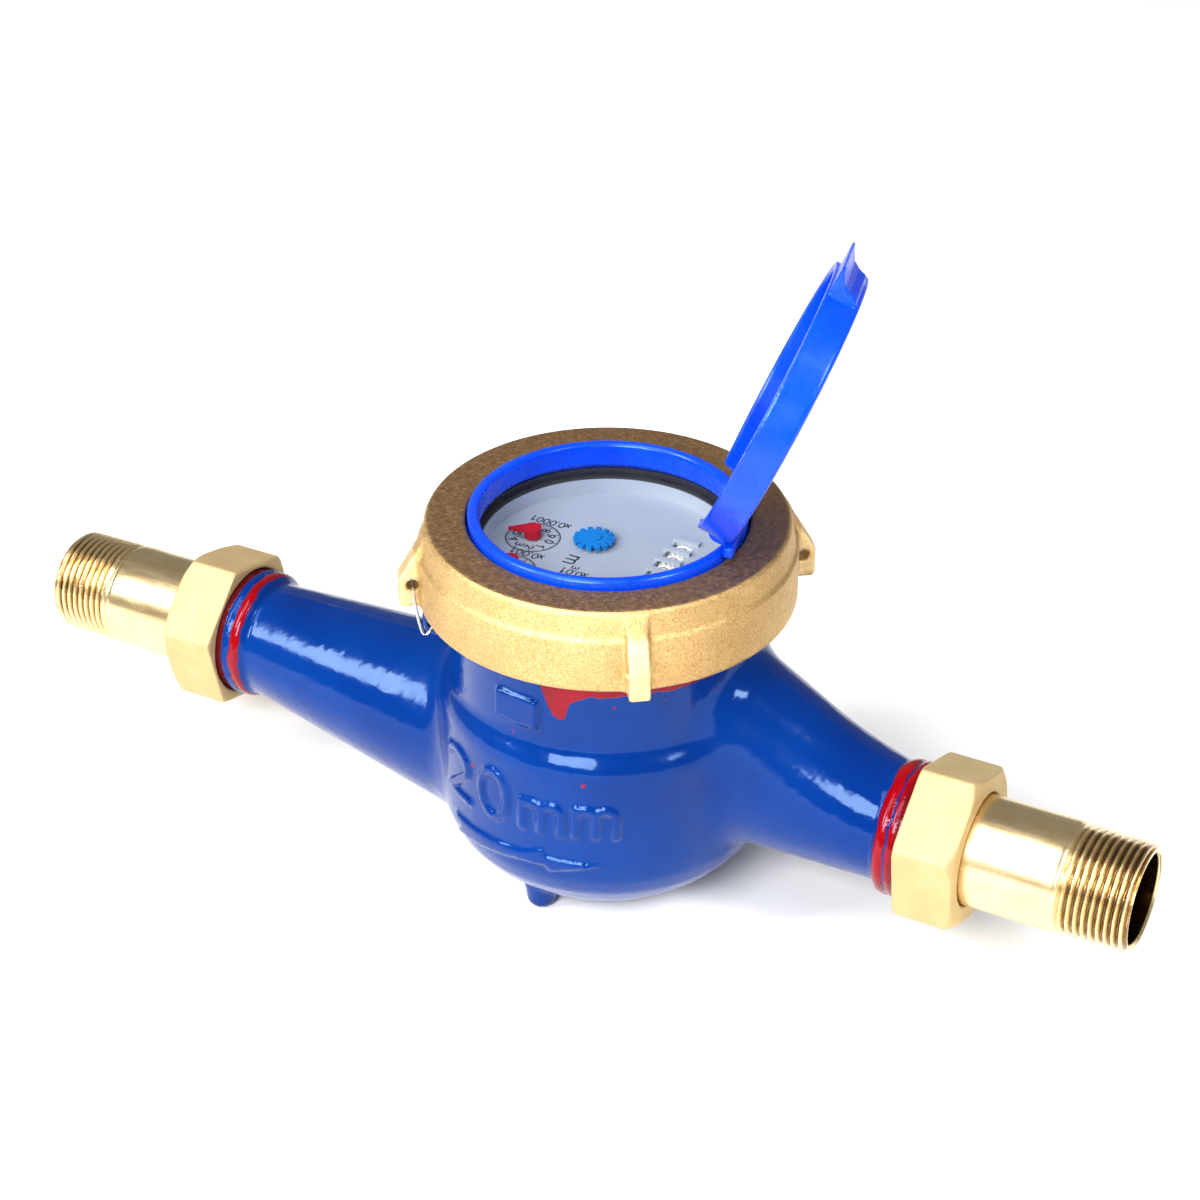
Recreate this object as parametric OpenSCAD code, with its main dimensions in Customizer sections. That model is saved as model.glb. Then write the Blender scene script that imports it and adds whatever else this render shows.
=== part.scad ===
// Multi-jet cold water meter with screwed couplings, in millimetres.
// Feet on z = 0, register axis on z, pipe along x: water enters at -x.

/* [Body] */
// Height of the pipe axis above the feet
pipe_height = 36; // [34:0.5:40]
// End face of the body on the inlet side, from the register axis
inlet_face = 110; // [100:0.5:120]
// End face of the body on the outlet side, from the register axis
outlet_face = 88; // [80:0.5:100]
// Outer radius of the bowl
bowl_r = 41; // [38:0.5:44]
// Outer radius of the neck under the brass ring
neck_r = 38; // [36.5:0.5:39]
// Radius of the water way in arms and tails
bore_r = 11; // [9:0.25:11.5]
// Outer radius of the coupling thread on the arms
body_thread_r = 16.6; // [15.5:0.1:17]
// Outer radius of the neck thread under the ring
neck_thread_r = 40; // [39:0.1:40.2]
// Radius of the circle of the three feet
foot_circle = 25.5; // [22:0.5:28]
// Radius of one foot
foot_r = 3.6; // [2.5:0.1:5]

/* [Couplings] */
// Across-flats size of the coupling nuts
nut_af = 36.2; // [34:0.1:41]
// Length of the coupling nuts
nut_length = 14.75; // [12:0.25:20]
// Thickness of the nut lip behind the tail flange
nut_lip = 4.75; // [2.5:0.25:6]
// Turn of the inlet nut's hexagon
inlet_nut_turn = 14; // [0:1:60]
// Turn of the outlet nut's hexagon
outlet_nut_turn = 9; // [0:1:60]
// Thickness of the flange on the tail
tail_flange = 3.5; // [2.5:0.25:5]
// Thickness of the flat gasket
gasket_t = 2; // [1:0.25:3]
// Plain outer radius of the tail
tail_r = 13.5; // [13.3:0.1:14]
// Outer radius of the threaded end of the tail
tail_thread_r = 13.2; // [12.8:0.05:13.3]
// Length of the threaded end of the tail
tail_thread = 18; // [14:0.5:22]
// Length of the tail outside the nut
tail_out = 40.25; // [36:0.25:50]

/* [Ring and cover] */
// Height of the top of the brass ring
ring_top = 100.1; // [98:0.1:104]
// Height of the lower edge of the brass ring
ring_low = 79.9; // [79.6:0.1:84]
// Outer radius of the ring at its upper edge
ring_r = 43.4; // [42:0.1:45]
// Outer radius of the ring lower down
ring_low_r = 45.4; // [43:0.1:47]
// Radius of the opening in the ring
ring_open_r = 33.7; // [33.4:0.1:35]
// Direction of the first of the four lugs
lug_angle = 36; // [0:1:90]
// Thickness of a lug
lug_t = 5; // [3:0.25:7]
// Radius of the seal holes
seal_hole_r = 1.5; // [0.8:0.05:2]
// Direction of the lid hinge
hinge_dir = 14; // [-30:1:60]
// Distance of the hinge axis from the register axis
hinge_out = 29.5; // [28:0.25:31]
// Height of the hinge axis above the ring
hinge_up = 7.5; // [6.5:0.1:8.5]
// Angle the lid stands open
lid_open = 114; // [0:1:114]
// Outer radius of the lid
lid_r = 33.8; // [33:0.1:35]

/* [Dial] */
// Height of the face of the dial
dial_z = 88.5; // [88:0.1:89]
// Radius of the circle of the pointers
pointer_circle = 20; // [19.5:0.1:20.3]
// Direction of the fastest pointer
pointer_dir = 182; // [176:1:188]
// Tip radius of the star wheel
star_r = 5; // [4:0.1:6.5]

/* [Movement] */
// Module of the gears
gear_module = 0.4; // [0.4:0.01:0.4]
// Play cut from each tooth at the pitch circle
backlash = 0.1; // [0.05:0.01:0.16]
// Radius of the arbors
arbor_r = 0.5; // [0.4:0.05:0.55]
// Radial play of the pivots
pivot_play = 0.05; // [0.02:0.01:0.1]
// Face width of the gears
gear_w = 1.4; // [1:0.1:1.4]
// Radius of the number drums
drum_r = 4.2; // [4:0.05:4.2]

/* [Hidden] */
$fn = 96;
// everything is drawn from a level below the feet and set down on them
base_z = 4;
mid_x = (inlet_face - outlet_face) / 2;
ph = pipe_height + base_z;
zt = ring_top + base_z;
zl = ring_low + base_z;
zf = dial_z + base_z;
module on_feet() translate([mid_x, 0, -base_z]) children();
hex_r = nut_af / sqrt(3);
lvl = [0, 78, 80, 82];
zd = 87.9;
xd = 14;
zc_car = -20;
d_car = gear_module * 28 / 2;
function pol(r, a) = [r * cos(a), r * sin(a)];
function dir(a, b) = atan2(b[1] - a[1], b[0] - a[0]);
function tri(a, b, da, db, s) = let (d = norm(b - a), k = (da * da - db * db + d * d) / (2 * d),
    h = sqrt(da * da - k * k), u = (b - a) / d) a + k * u + s * h * [-u[1], u[0]];
function gap(n, m) = gear_module * (n + m) / 2;
p_c = [0, 0];
p_s = pol(gap(8, 25), 148);
p4 = pol(pointer_circle, pointer_dir);
p3 = p4 + [2, -14.8];
p2 = p3 + [14, -2.5];
p1 = p2 + [14.5, 1.5];
i_s = tri(p_s, p4, gap(9, 33), gap(9, 33), -1);
i43 = tri(p4, p3, gap(9, 30), gap(9, 27), -1);
i32 = tri(p3, p2, gap(9, 30), gap(9, 27), -1);
i21 = tri(p2, p1, gap(9, 30), gap(9, 27), -1);
pillars = [pol(28.4, 40), pol(28.4, 100), pol(28.4, 158), pol(28.4, 338)];
function inv_deg(a) = tan(a) * 180 / PI - a;
function half_deg(r, rb, hp) = hp + inv_deg(25) - (r <= rb ? 0 : inv_deg(acos(rb / r)));
function gear_pts(n, ang) = let (m = gear_module, rp = m * n / 2, rb = rp * cos(25), rr = rp - m,
    ra = rp + 0.7 * m, r1 = max(rb, (rr + rp) / 2), hp = 90 / n - backlash / (2 * rp) * 180 / PI,
    rad = [rr, r1, rp, ra, ra, rp, r1, rr])
    [for (i = [0:n - 1]) for (k = [0:7])
        pol(rad[k], ang + i * 360 / n + (k < 4 ? -1 : 1) * half_deg(rad[k], rb, hp))];

// Route of the seal wire, seen from the lug it hangs in, and its radius along it: a crimped knot at the start
wire_path = [[46.9, -4.6, 89.1], [46.9, -4.4, 89.1], [46.9, -3.8, 89.1], [46.9, -3.2, 89.1], [46.9, -2.8, 89.1], [46.9, 2.4, 89.1],
    [46.9, 3.1, 88.8], [46.8, 3.5, 88], [46.4, 3.7, 84.6], [45.9, 3.8, 81.2], [45.4, 3.8, 78.8], [45.1, 3.8, 77.7],
    [44.7, 3.75, 77.1], [44, 3.6, 77], [43.3, 3.3, 77.5], [42.6, 2.8, 78.1], [42.4, 2.2, 78.2], [42.4, -2.8, 78.2]];
wire_r = [for (i = [0:17]) i < 4 ? [0.3, 0.8, 1, 0.8][i] : 0.4];
function unit(v) = v / norm(v);
function sweep_points(path, rad, n) = [for (i = [0:len(path) - 1])
    let (t = unit(path[min(i + 1, len(path) - 1)] - path[max(i - 1, 0)]), u = unit(cross(t, [0.75, 0.6, 0.28])), w = cross(t, u))
    for (k = [0:n - 1]) path[i] + rad[i] * (cos(k * 360 / n) * u + sin(k * 360 / n) * w)];
function sweep_faces(rings, n) = concat([[for (k = [0:n - 1]) k]], [[for (k = [n - 1:-1:0]) (rings - 1) * n + k]],
    [for (i = [0:rings - 2]) for (k = [0:n - 1]) [(i + 1) * n + k, (i + 1) * n + (k + 1) % n, i * n + (k + 1) % n]],
    [for (i = [0:rings - 2]) for (k = [0:n - 1]) [(i + 1) * n + k, i * n + (k + 1) % n, i * n + k]]);

// One sub-part, or all of them

// ---------- helpers ----------
// Round bar between two points, r1 to r2
module bar(p, q, r1, r2) {
    v = q - p;
    l = norm(v);
    translate(p) rotate([0, acos(v[2] / l), atan2(v[1], v[0])]) cylinder(r1 = r1, r2 = r2, h = l);
}
// Turned shape about the line from p to q: points are radius, distance from p
module spin(p, q, pts) {
    v = q - p;
    l = norm(v);
    translate(p) rotate([0, acos(v[2] / l), atan2(v[1], v[0])]) rotate_extrude() polygon(pts);
}
module tube(z0, z1, ro, ri) {
    translate([0, 0, z0]) difference() {
        cylinder(r = ro, h = z1 - z0);
        translate([0, 0, -1]) cylinder(r = ri, h = z1 - z0 + 2);
    }
}
module disc(p, z0, z1, r) translate([p[0], p[1], z0]) cylinder(r = r, h = z1 - z0);
module gear(p, l, n, ang) translate([p[0], p[1], lvl[l]]) linear_extrude(height = gear_w) polygon(gear_pts(n, ang));
// Driving gear at a with a tooth towards b, driven gear at b with a gap towards a
module driver(a, b, l, n) gear(a, l, n, dir(a, b));
module driven(a, b, l, n) gear(b, l, n, dir(b, a) + 180 / n);
module arbor(p, z1) disc(p, 76.7, z1, arbor_r);
module at_hinge() rotate([0, 0, hinge_dir]) translate([hinge_out, 0, zt + hinge_up]) children();
module at_drum() translate([xd, 0, zd]) rotate([90, 0, 0]) children();

// ---------- body ----------
module meter_body() color([0.03, 0.2, 0.62]) on_feet() difference() {
    union() {
        rotate_extrude() polygon([[0, 6], [19, 6], [24, 7.6], [30, 12], [35.5, 17], [39, 21.5],
            [bowl_r - 0.4, 26], [bowl_r, 31], [bowl_r, 56], [bowl_r - 0.8, 58.5], [neck_r + 0.6, 61],
            [neck_r, 62.5], [neck_r, 84.6], [neck_thread_r, 85], [neck_thread_r, 95.4],
            [neck_thread_r - 0.6, 96], [0, 96]]);
        // arms: the inlet falls to the lower half of the bowl, the outlet comes from the upper half
        spin([-inlet_face + 6, 0, ph + 0.2], [-34, 0, 33], [[0, 0], [14, 0], [22.8, 70.4], [19, 84], [11, 92], [0, 92]]);
        spin([outlet_face - 4, 0, ph - 0.2], [24, 0, ph + 3.4], [[0, 0], [13.8, 0], [17.4, 58], [0, 58]]);
        spin([outlet_face - 4, 0, ph + 0.4], [30, 0, ph + 19], [[0, 0], [9, 0], [18.5, 57], [12, 68], [0, 68]]);
        bar([-inlet_face, 0, ph], [-inlet_face + 0.8, 0, ph], body_thread_r - 0.8, body_thread_r);
        bar([-inlet_face + 0.8, 0, ph], [-inlet_face + 11, 0, ph], body_thread_r, body_thread_r);
        bar([outlet_face - 0.8, 0, ph], [outlet_face, 0, ph], body_thread_r, body_thread_r - 0.8);
        bar([outlet_face - 10.6, 0, ph], [outlet_face - 0.8, 0, ph], body_thread_r, body_thread_r);
        for (a = [18, 138, 258]) rotate([0, 0, a]) translate([foot_circle, 0, 0])
            rotate_extrude() polygon([[0, base_z], [foot_r - 1.2, base_z], [foot_r - 0.4, base_z + 0.5], [foot_r, base_z + 1.4], [foot_r + 0.8, 11], [0, 11]]);
        // eye for the seal wire
        rotate([0, 0, lug_angle + 180]) translate([neck_r - 2, 2, 74.3]) rotate([90, 0, 0])
            linear_extrude(height = 4) polygon([[0, 0], [5.6, 0.5], [8.6, 2.4], [8.6, 6.4], [6.6, 8.2], [0, 8.4]]);
        // raised block on the neck
        rotate([0, 0, 264]) translate([neck_r - 2, -5.8, 66.5]) cube([3, 11.6, 8]);
    }
    // water ways
    bar([-inlet_face - 1, 0, ph], [-60, 0, ph], bore_r, bore_r);
    bar([-70, 0, ph], [-28, 0, 29], bore_r - 0.6, bore_r - 0.6);
    bar([56, 0, ph], [outlet_face + 1, 0, ph], bore_r, bore_r);
    bar([66, 0, ph + 0.3], [28, 0, 57], bore_r - 0.8, bore_r - 0.8);
    // bowl: inlet space, seat, outlet space, neck
    rotate_extrude() polygon([[0, 16], [8, 16], [9, 11], [22, 11], [31, 17.5], [35, 22.5], [36.5, 28], [36.5, 42],
        [33, 42], [33, 48], [36.5, 48], [36.5, 57], [35, 60], [35, 97], [0, 97]]);
    // groove of the register seal
    tube(94.2, 97, 38, 36);
    rotate([0, 0, lug_angle + 180]) translate([neck_r + 4.4, 5, 78.7]) rotate([90, 0, 0]) cylinder(r = seal_hole_r - 0.2, h = 10);
}

// ---------- couplings: built for the inlet at the body face, mouth towards -x ----------
module on_inlet() translate([-inlet_face, 0, ph]) children();
module on_outlet() translate([outlet_face, 0, ph]) mirror([1, 0, 0]) children();
module nut_shape(turn) {
    x0 = -gasket_t - tail_flange - nut_lip;
    difference() {
        intersection() {
            translate([x0, 0, 0]) rotate([turn, 0, 0]) rotate([0, 90, 0]) cylinder(r = hex_r, h = nut_length, $fn = 6);
            bar([x0, 0, 0], [x0 + nut_length + 0.01, 0, 0], hex_r - 2.4, hex_r - 2.4 + nut_length * 1.2);
        }
        bar([x0 - 1, 0, 0], [x0 + nut_lip, 0, 0], tail_r + 0.5, tail_r + 0.5);
        bar([x0 + nut_lip, 0, 0], [x0 + nut_length + 1, 0, 0], body_thread_r + 0.1, body_thread_r + 0.1);
    }
}
module tail_shape() {
    x1 = -gasket_t;
    x0 = -gasket_t - tail_flange - nut_lip - tail_out;
    difference() {
        union() {
            bar([x1 - tail_flange, 0, 0], [x1, 0, 0], 15.8, 15.8);
            bar([x0 + tail_thread, 0, 0], [x1, 0, 0], tail_r, tail_r);
            bar([x0 + 0.9, 0, 0], [x0 + tail_thread, 0, 0], tail_thread_r, tail_thread_r);
            bar([x0, 0, 0], [x0 + 0.9, 0, 0], tail_thread_r - 0.9, tail_thread_r);
        }
        bar([x0 - 1, 0, 0], [x1 + 1, 0, 0], bore_r, bore_r);
        bar([x0 - 0.1, 0, 0], [x0 + 0.9, 0, 0], bore_r + 0.8, bore_r);
    }
}
module gasket_shape() difference() {
    bar([-gasket_t, 0, 0], [0, 0, 0], 15.6, 15.6);
    bar([-gasket_t - 1, 0, 0], [1, 0, 0], bore_r + 0.4, bore_r + 0.4);
}
module inlet_nut() color([0.8, 0.65, 0.35]) on_feet() on_inlet() nut_shape(inlet_nut_turn);
module outlet_nut() color([0.8, 0.65, 0.35]) on_feet() on_outlet() nut_shape(outlet_nut_turn);
module inlet_tail() color([0.85, 0.72, 0.42]) on_feet() on_inlet() tail_shape();
module outlet_tail() color([0.85, 0.72, 0.42]) on_feet() on_outlet() tail_shape();
module inlet_gasket() color([0.1, 0.1, 0.1]) on_feet() on_inlet() gasket_shape();
module outlet_gasket() color([0.1, 0.1, 0.1]) on_feet() on_outlet() gasket_shape();

// ---------- ring, cover and lid ----------
module top_ring() color([0.7, 0.5, 0.2]) on_feet() difference() {
    union() {
        rotate_extrude() polygon([[ring_open_r, zt - 4], [ring_open_r, zt - 0.4], [ring_open_r + 0.4, zt],
            [ring_r - 0.8, zt], [ring_r, zt - 0.8], [ring_low_r - 0.2, zt - 6.5], [ring_low_r, zl + 0.8],
            [ring_low_r - 0.8, zl], [neck_thread_r + 0.3, zl], [neck_thread_r + 0.3, zt - 4]]);
        for (k = [0:3]) rotate([0, 0, lug_angle + 90 * k]) translate([0, lug_t / 2, 0]) rotate([90, 0, 0])
            linear_extrude(height = lug_t) polygon([[43, zl + 0.2], [49.5, zl + 0.2], [50.1, zl + 0.8],
                [50.1, zt - 12.4], [49.6, zt - 11.4], [43.8, zt - 1.6], [43, zt - 1.2]]);
    }
    for (k = [0:3]) rotate([0, 0, lug_angle + 90 * k]) translate([46.9, 6, zl + 6.1]) rotate([90, 0, 0])
        cylinder(r = seal_hole_r, h = 12);
}
module cover_ring() color([0.05, 0.3, 0.95]) on_feet() difference() {
    union() {
        rotate_extrude() polygon([[32, 98.6], [39.6, 98.6], [39.6, zt - 4], [33.2, zt - 4], [33.2, zt + 1.2],
            [32.9, zt + 1.75], [32.3, zt + 2], [31.4, zt + 2], [30.8, zt + 1.75], [30.5, zt + 1.2],
            [30.5, zt - 4.1], [32, zt - 4.1]]);
        at_hinge() {
            translate([0, 8, 0]) rotate([90, 0, 0]) cylinder(r = 2.4, h = 16);
            translate([-2.4, -8, -6.6]) cube([4.8, 16, 6.6]);
            translate([1.2, -14.6, -6.6]) cube([2.2, 29.2, 2.7]);
        }
    }
    at_hinge() translate([0, 9, 0]) rotate([90, 0, 0]) cylinder(r = 1, h = 18);
}
module lid() color([0.05, 0.3, 0.95]) on_feet() at_hinge() rotate([0, lid_open, 0]) difference() {
    union() {
        difference() {
            // shallow dome with a skirt
            translate([-hinge_out, 0, 0]) rotate_extrude() polygon(concat(
                [[0, 1.9], [lid_r - 2, 1.9], [lid_r - 2, -5.1], [lid_r, -5.1]],
                [for (k = [5:-1:0]) [lid_r * k / 5, 4.8 - 320 + sqrt(320 * 320 - pow(lid_r * k / 5, 2))]]));
            translate([2.4, -40, -10]) cube([20, 80, 20]);
            translate([0, -40, -10]) cube([20, 80, 11.9]);
            translate([-3.3, -8.5, -10]) cube([20, 17, 20]);
        }
        // thumb tab
        translate([-hinge_out, 7, 0]) rotate([90, 0, 0]) linear_extrude(height = 14)
            polygon([[-lid_r + 1, 2.2], [-lid_r - 0.8, 1.6], [-lid_r - 1.5, -0.4], [-lid_r - 2.8, -2.2], [-lid_r - 5.2, -3.5],
                [-lid_r - 7, -4.1], [-lid_r - 6.6, -4.6], [-lid_r + 1, -4.6]]);
        for (s = [-1, 1]) {
            translate([0, 11.75 * s + 3.25, 0]) rotate([90, 0, 0]) cylinder(r = 2.4, h = 6.5);
            translate([-2.4, 11.75 * s - 3.25, 0]) cube([4.8, 6.5, 2.5]);
        }
    }
    translate([0, 20, 0]) rotate([90, 0, 0]) cylinder(r = 1 + pivot_play, h = 40);
}
module hinge_pin() color([0.75, 0.75, 0.75]) on_feet() at_hinge() translate([0, 15, 0]) rotate([90, 0, 0]) cylinder(r = 1, h = 30);
module seal_wire() color([0.8, 0.8, 0.75]) on_feet() rotate([0, 0, lug_angle + 180])
    polyhedron(points = sweep_points(wire_path, wire_r, 8), faces = sweep_faces(len(wire_path), 8));

// ---------- register housing ----------
module glass() color([0.85, 0.9, 0.92, 0.4]) on_feet() disc([0, 0], 97, 99.9, 31.7);
module lens_gasket() color([0.1, 0.1, 0.1]) on_feet() tube(96.4, 97, 31.7, 30.3);
module dial_plate() color([0.95, 0.95, 0.93]) on_feet() difference() {
    union() {
        disc([0, 0], zf - 1, zf, 31.6);
        tube(zf - 1, 96.4, 31.6, 30.2);
        // raised bars between the windows of the drums
        for (k = [0:5]) translate([xd - 3.4, 5 * k - 11.6, zf - 0.1]) cube([6.8, 1.4, 1]);
    }
    for (p = [p1, p2, p3, p4, p_s]) disc(p, 90, 94, 0.9);
    translate([xd - 2.6, -10.2, 90]) cube([5.2, 23.6, 2.65]);
    translate([xd - 3, -11.2, 90]) cube([6, 1.1, 2.65]);
}
module register_case() color([0.06, 0.06, 0.07]) on_feet() rotate_extrude() polygon([[0, 72], [33.1, 72], [33.1, 97.4], [39.6, 97.4],
    [39.6, 98.6], [31.9, 98.6], [31.9, 73.5], [0, 73.5]]);
module pressure_plate() color([0.7, 0.55, 0.3]) on_feet() rotate_extrude() polygon([[0, 70], [34.6, 70], [34.6, 96], [39.6, 96],
    [39.6, 97.4], [33.4, 97.4], [33.4, 72], [0, 72]]);
module register_seal() color([0.08, 0.08, 0.08]) on_feet() tube(94.2, 96, 38, 36);
module lower_plate() color([0.85, 0.85, 0.8]) on_feet() difference() {
    disc([0, 0], 76.6, 77.6, 30.6);
    for (p = [p_s, p1, p2, p3, p4, i_s, i43, i32, i21]) disc(p, 76, 78, arbor_r + pivot_play);
    disc(p_c, 76, 78, 0.7 + pivot_play);
    for (p = pillars) disc(p, 76, 78, 0.95);
}
module upper_plate() color([0.85, 0.85, 0.8]) on_feet() difference() {
    disc([0, 0], 89.4, 90.4, 30.6);
    for (p = [p_c, p_s, p1, p2, p3, p4, i_s, i43, i32, i21]) disc(p, 89, 91, arbor_r + pivot_play);
    for (p = pillars) disc(p, 89, 91, 0.95);
    translate([xd - 4.8, -11.2, 88]) cube([9.6, 24.8, 4]);
}
module movement_pillars() color([0.75, 0.65, 0.4]) on_feet() for (p = pillars) {
    disc(p, 73.5, 76.6, 1.6);
    disc(p, 76.6, 77.6, 0.95);
    disc(p, 77.6, 89.4, 1.6);
    disc(p, 89.4, 90.4, 0.95);
    disc(p, 90.4, zf - 1, 1.6);
}

// ---------- gear train ----------
module drive_arbor() color([0.9, 0.88, 0.8]) on_feet() {
    disc(p_c, 73.7, 79.5, 0.7);
    disc(p_c, 79.4, 90.3, arbor_r);
    driver(p_c, p_s, 1, 8);
}
module driven_magnet() color([0.2, 0.2, 0.22]) on_feet() tube(74, 76.2, 6, 0.7);
module star_arbor() color([0.9, 0.88, 0.8]) on_feet() {
    arbor(p_s, 94);
    driven(p_c, p_s, 1, 25);
    driver(p_s, i_s, 2, 9);
}
module star_wheel() color([0.1, 0.6, 0.9]) on_feet() translate([p_s[0], p_s[1], zf + 0.9]) difference() {
    union() {
        linear_extrude(height = 1) polygon([for (i = [0:13]) for (q = [[star_r * 0.74, -8.6], [star_r, -7], [star_r, 7], [star_r * 0.74, 8.6]])
            pol(q[0], i * 360 / 14 + q[1])]);
        translate([0, 0, -0.5]) cylinder(r = 1.8, h = 1.8);
    }
    translate([0, 0, -1]) cylinder(r = arbor_r, h = 1.6);
}
module idler_s() color([0.9, 0.88, 0.8]) on_feet() { arbor(i_s, 90.3); driven(p_s, i_s, 2, 33); driver(i_s, p4, 3, 9); }
module idler_43() color([0.9, 0.88, 0.8]) on_feet() { arbor(i43, 90.3); driven(p4, i43, 1, 30); driver(i43, p3, 2, 9); }
module idler_32() color([0.9, 0.88, 0.8]) on_feet() { arbor(i32, 90.3); driven(p3, i32, 3, 30); driver(i32, p2, 1, 9); }
module idler_21() color([0.9, 0.88, 0.8]) on_feet() { arbor(i21, 90.3); driven(p2, i21, 2, 30); driver(i21, p1, 3, 9); }
module pointer_arbor_4() color([0.9, 0.88, 0.8]) on_feet() { arbor(p4, 93.8); driven(i_s, p4, 3, 33); driver(p4, i43, 1, 9); }
module pointer_arbor_3() color([0.9, 0.88, 0.8]) on_feet() { arbor(p3, 93.8); driven(i43, p3, 2, 27); driver(p3, i32, 3, 9); }
module pointer_arbor_2() color([0.9, 0.88, 0.8]) on_feet() { arbor(p2, 93.8); driven(i32, p2, 1, 27); driver(p2, i21, 2, 9); }
module pointer_arbor_1() color([0.9, 0.88, 0.8]) on_feet() {
    arbor(p1, 93.8);
    driven(i21, p1, 3, 27);
    // two fingers that step the first drum
    translate([p1[0], p1[1], 84.05]) {
        cylinder(r = 1.4, h = 0.65);
        rotate([0, 0, 160]) translate([0, -0.35, 0]) cube([6.2, 0.7, 0.65]);
        rotate([0, 0, -20]) translate([0, -0.35, 0]) cube([6.2, 0.7, 0.65]);
    }
}
module pointer(p, turn) color([0.75, 0.05, 0.15]) on_feet() translate([p[0], p[1], zf + 0.4]) rotate([0, 0, turn]) difference() {
    union() {
        cylinder(r = 2.1, h = 2.6);
        translate([0, 0, 1.7]) linear_extrude(height = 0.8) polygon([[0, 2.05], [2.4, 1.35], [5.9, 0.15], [5.9, -0.15], [2.4, -1.35], [0, -2.05]]);
    }
    translate([0, 0, -1]) cylinder(r = arbor_r, h = 2);
}
module pointer_1() pointer(p1, -7.7);
module pointer_2() pointer(p2, -77.1);
module pointer_3() pointer(p3, -51.5);
module pointer_4() pointer(p4, 205);

// ---------- number drums: k = 1 is the lowest figure ----------
module drum(k) color([0.92, 0.92, 0.9]) on_feet() at_drum() difference() {
    z0 = 6.8 - 5 * (k - 1);
    union() {
        translate([0, 0, z0]) cylinder(r = drum_r, h = 3.2);
        translate([0, 0, z0 + 3.1]) linear_extrude(height = 1) polygon(gear_pts(20, zc_car + 0));
        if (k < 5) {
            translate([0, 0, z0 - 0.7]) cylinder(r = 3.5, h = 0.8);
            translate([0, 0, z0 - 0.7]) linear_extrude(height = 0.8) intersection() {
                polygon(gear_pts(20, zc_car));
                polygon([[0, 0], pol(9, 143), pol(9, 177)]);
            }
        }
    }
    translate([0, 0, z0 - 3]) cylinder(r = 0.6 + pivot_play, h = 9);
}
module drum_1() drum(1);
module drum_2() drum(2);
module drum_3() drum(3);
module drum_4() drum(4);
module drum_5() drum(5);
module carry_pinion(k) color([0.85, 0.8, 0.6]) on_feet() at_drum() translate([d_car * cos(zc_car), d_car * sin(zc_car), 10.15 - 5 * k]) difference() {
    linear_extrude(height = 1.5) polygon(gear_pts(8, zc_car + 180 + 22.5));
    translate([0, 0, -1]) cylinder(r = 0.5 + pivot_play, h = 4);
}
module carry_pinion_1() carry_pinion(1);
module carry_pinion_2() carry_pinion(2);
module carry_pinion_3() carry_pinion(3);
module carry_pinion_4() carry_pinion(4);
module drum_frame() color([0.8, 0.8, 0.78]) on_feet() difference() {
    for (y = [-12.3, 14]) translate([xd - 4.4, y, 85]) cube([12, 1, 4.4]);
    at_drum() translate([0, 0, -20]) cylinder(r = 0.6, h = 40);
    at_drum() translate([d_car * cos(zc_car), d_car * sin(zc_car), -20]) cylinder(r = 0.5, h = 40);
}
module drum_shaft() color([0.75, 0.75, 0.75]) on_feet() at_drum() translate([0, 0, -14.9]) cylinder(r = 0.6, h = 27.1);
module carry_shaft() color([0.75, 0.75, 0.75]) on_feet() at_drum() translate([d_car * cos(zc_car), d_car * sin(zc_car), -14.9]) cylinder(r = 0.5, h = 27.1);

// ---------- wet side ----------
module strainer() color([0.8, 0.8, 0.75]) on_feet() difference() {
    tube(20, 41.8, 32.6, 31.4);
    for (i = [0:17]) rotate([0, 0, i * 20 + 10]) translate([25, -2.6, 23]) cube([14, 5.2, 15.5]);
}
module measuring_chamber() color([0.85, 0.82, 0.75]) on_feet() difference() {
    union() {
        tube(17.6, 64, 31, 29);
        disc([0, 0], 16, 18, 28.4);
        disc([0, 0], 17, 18, 30);
        tube(42, 48, 32.8, 30);
    }
    for (i = [0:7]) rotate([0, 0, i * 45]) {
        translate([25, 0, 31]) rotate([-90, 0, 0]) cylinder(r = 3, h = 30);
        translate([25, 0, 55]) rotate([90, 0, 0]) cylinder(r = 3, h = 30);
    }
    disc([0, 0], 15, 19, 1);
}
module chamber_cover() color([0.85, 0.82, 0.75]) on_feet() difference() {
    union() {
        disc([0, 0], 64, 66.5, 33);
        tube(66, 70, 33, 31);
    }
    disc([0, 0], 60, 68, 2 + pivot_play);
}
module pivot_pin() color([0.75, 0.75, 0.75]) on_feet() disc([0, 0], 16.2, 26.6, 1);
module impeller() color([0.9, 0.9, 0.88]) on_feet() difference() {
    union() {
        disc([0, 0], 22, 58, 4.5);
        for (i = [0:7]) rotate([0, 0, i * 45]) translate([3, -0.7, 25]) cube([23, 1.4, 31]);
        disc([0, 0], 39, 41, 12);
        disc([0, 0], 57, 69.5, 2);
    }
    disc([0, 0], 21, 27, 2);
}
module impeller_bush() color([0.5, 0.1, 0.2]) on_feet() tube(22, 27, 2, 1 + pivot_play);
module driving_magnet() color([0.2, 0.2, 0.22]) on_feet() tube(67, 69.5, 7, 2);

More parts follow.
